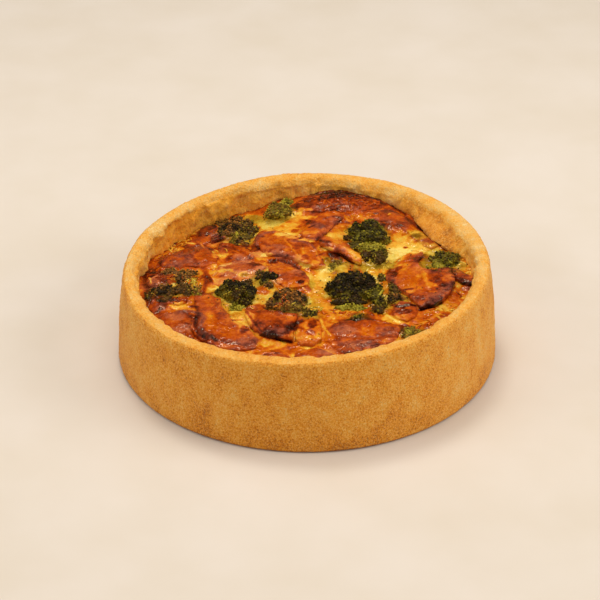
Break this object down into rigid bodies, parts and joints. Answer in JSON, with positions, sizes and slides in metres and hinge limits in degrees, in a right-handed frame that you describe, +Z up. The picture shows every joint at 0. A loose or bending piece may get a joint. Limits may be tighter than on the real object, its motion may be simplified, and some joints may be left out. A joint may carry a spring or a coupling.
{
  "type": "quiche",
  "caption": "Deep round quiche: an upright browned shortcrust case filled with set custard, with dark broccoli florets and thin orange-brown baked slices half sunk in its glossy top.",
  "frame": {"origin": "centre of the flat underside", "axes": "+Z up, -Y towards the front of the pie as shown, +X to its right, where the rim stands highest"},
  "size_m": [0.2032, 0.2016, 0.056],
  "materials": {
    "pastry": "dry, fine crumbly grain, golden brown with darker specks and a paler rim",
    "custard": "set egg custard, moist sheen, pale yellow where bare and orange brown where blistered",
    "baked_slice": "oily baked sheen, orange brown with dark red-brown edges",
    "stem": "soft cooked vegetable, brownish olive, moist",
    "broccoli_dark": "rough buds, almost black green with charred tips",
    "broccoli_green": "rough buds, green with dark tips",
    "broccoli_toasted": "rough buds, toasted brown",
    "broccoli_olive": "rough buds, olive green, partly sunk in custard"
  },
  "bodies": {
    "root": {"pastry_case": "pastry", "custard": "custard", "slice_back": "baked_slice", "slice_back_right": "baked_slice", "stem_back_right": "stem", "slice_front_right_broad": "baked_slice", "slice_front_edge_right": "baked_slice", "slice_front_edge_left": "baked_slice", "slice_left_lump": "baked_slice", "slice_left_chunk": "baked_slice", "slice_front_left_low": "baked_slice", "slice_front_left_arc": "baked_slice", "slice_dark_back_left": "baked_slice", "slice_red_back_left": "baked_slice", "slice_brown_arch": "baked_slice", "slice_glossy_strip": "baked_slice", "slice_left_of_centre": "baked_slice", "slice_lower_centre": "baked_slice", "slice_centre": "baked_slice", "slice_back_fold": "baked_slice", "slice_ribbon": "baked_slice", "slice_front_left": "baked_slice", "slice_front_knob": "baked_slice", "slice_front_centre": "baked_slice", "slice_right_knob": "baked_slice", "slice_right_strip": "baked_slice", "slice_right": "baked_slice", "floret_centre": "broccoli_dark", "floret_centre_side": "broccoli_dark", "floret_back_right": "broccoli_green", "floret_by_ribbon": "broccoli_dark", "floret_left": "broccoli_dark", "floret_left_small": "broccoli_dark", "floret_front": "broccoli_toasted", "floret_front_tail": "broccoli_green", "floret_far_left": "broccoli_toasted", "floret_left_edge": "broccoli_toasted", "floret_far_back": "broccoli_toasted", "floret_low_left": "broccoli_toasted", "floret_back": "broccoli_olive", "floret_wall": "broccoli_green", "floret_by_slice": "broccoli_toasted", "floret_sunk": "broccoli_olive", "floret_front_small": "broccoli_green", "floret_front_right": "broccoli_green"}
  },
  "joints": []
}
